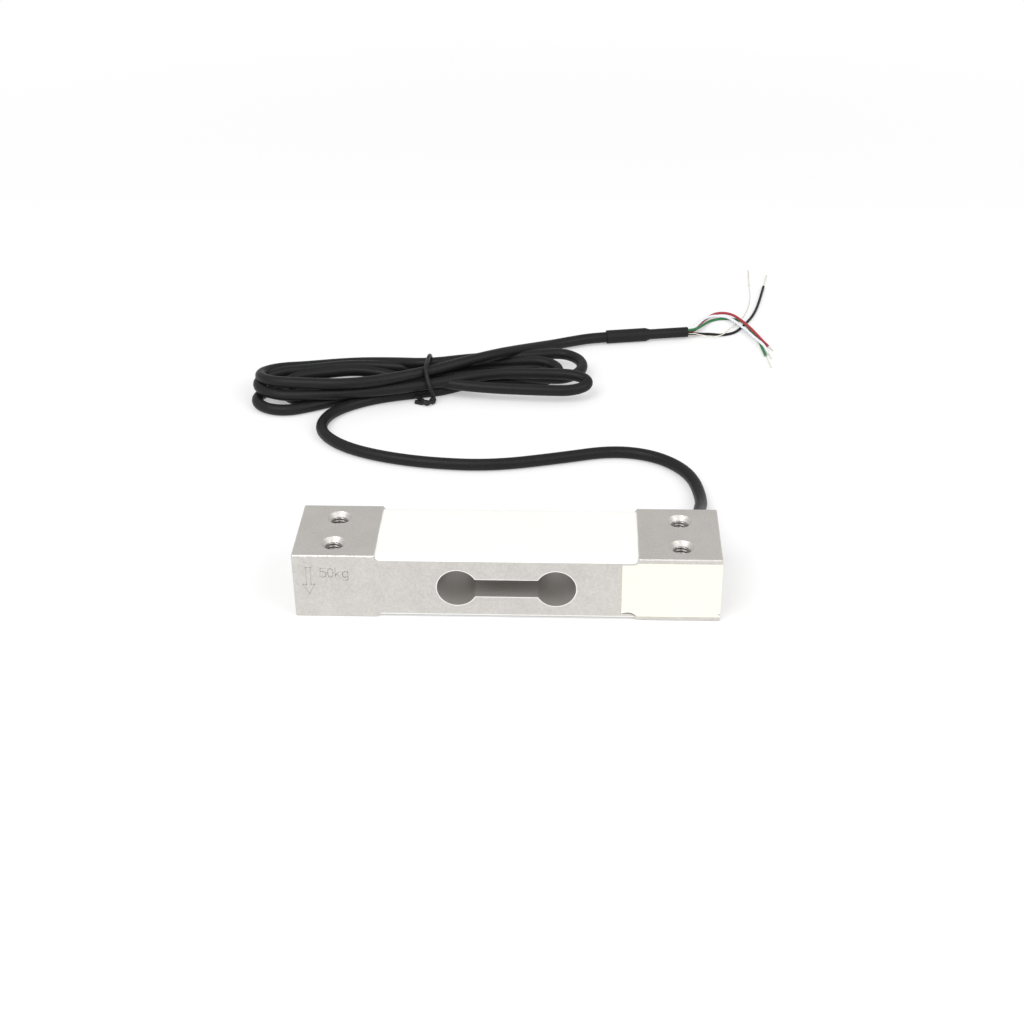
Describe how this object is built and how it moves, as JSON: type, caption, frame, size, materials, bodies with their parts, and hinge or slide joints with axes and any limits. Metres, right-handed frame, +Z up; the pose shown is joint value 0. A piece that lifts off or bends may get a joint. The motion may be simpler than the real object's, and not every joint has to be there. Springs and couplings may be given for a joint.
{
  "type": "strain gauge load cell",
  "caption": "Single point aluminium load cell bar with a dog-bone opening, sealed gauges and a tied shielded cable with bare ended cores.",
  "frame": {"origin": "middle of the bar's underside", "axes": "+X along the bar to the fixed end where the cable leaves, +Y to the rear face, +Z up"},
  "size_m": [0.207, 0.2753, 0.022],
  "materials": {
    "milled_aluminium": "milled and clear anodised, fine satin",
    "recess_sealant": "smooth white silicone, satin",
    "pocket_sealant": "warm white silicone, satin",
    "cable_jacket": "dark grey PVC, satin",
    "adhesive": "set adhesive",
    "shrink_sleeve": "black polyolefin, satin",
    "tie_wire": "black coated wire",
    "tinned_wire": "tinned copper strands",
    "bridge_wire": "enamelled wire",
    "board_laminate": "glass laminate",
    "resistor_body": "glazed chip",
    "gauge_film": "polyimide film",
    "gauge_foil": "etched alloy foil",
    "core_red": "PVC insulation",
    "core_green": "PVC insulation",
    "core_white": "PVC insulation",
    "core_black": "PVC insulation"
  },
  "bodies": {
    "root": {"bottom_sealant": "recess_sealant", "bridge_wires_bottom": "bridge_wire", "bridge_wires_top": "bridge_wire", "cable_entry": "cable_jacket", "cable_hank": "cable_jacket", "cable_lead": "cable_jacket", "cable_seal": "adhesive", "cable_tail": "cable_jacket", "compensation_board": "board_laminate", "core_black": "core_black", "core_green": "core_green", "core_red": "core_red", "core_tip_black": "tinned_wire", "core_tip_green": "tinned_wire", "core_tip_red": "tinned_wire", "core_tip_white": "tinned_wire", "core_white": "core_white", "drain_wire": "tinned_wire", "gauge_carrier_bottom_fixed": "gauge_film", "gauge_carrier_bottom_live": "gauge_film", "gauge_carrier_top_fixed": "gauge_film", "gauge_carrier_top_live": "gauge_film", "gauge_grid_bottom_fixed": "gauge_foil", "gauge_grid_bottom_live": "gauge_foil", "gauge_grid_top_fixed": "gauge_foil", "gauge_grid_top_live": "gauge_foil", "gauge_jumpers_bottom": "tinned_wire", "gauge_jumpers_top": "tinned_wire", "heat_shrink_sleeve": "shrink_sleeve", "inner_core_black": "core_black", "inner_core_green": "core_green", "inner_core_red": "core_red", "inner_core_white": "core_white", "side_sealant": "pocket_sealant", "span_trim_resistor": "resistor_body", "spring_element": "milled_aluminium", "temperature_resistor": "resistor_body", "terminal_strip_bottom": "board_laminate", "terminal_strip_top": "board_laminate", "top_sealant": "recess_sealant", "twist_tie": "tie_wire", "zero_trim_resistor": "resistor_body"}
  },
  "joints": []
}
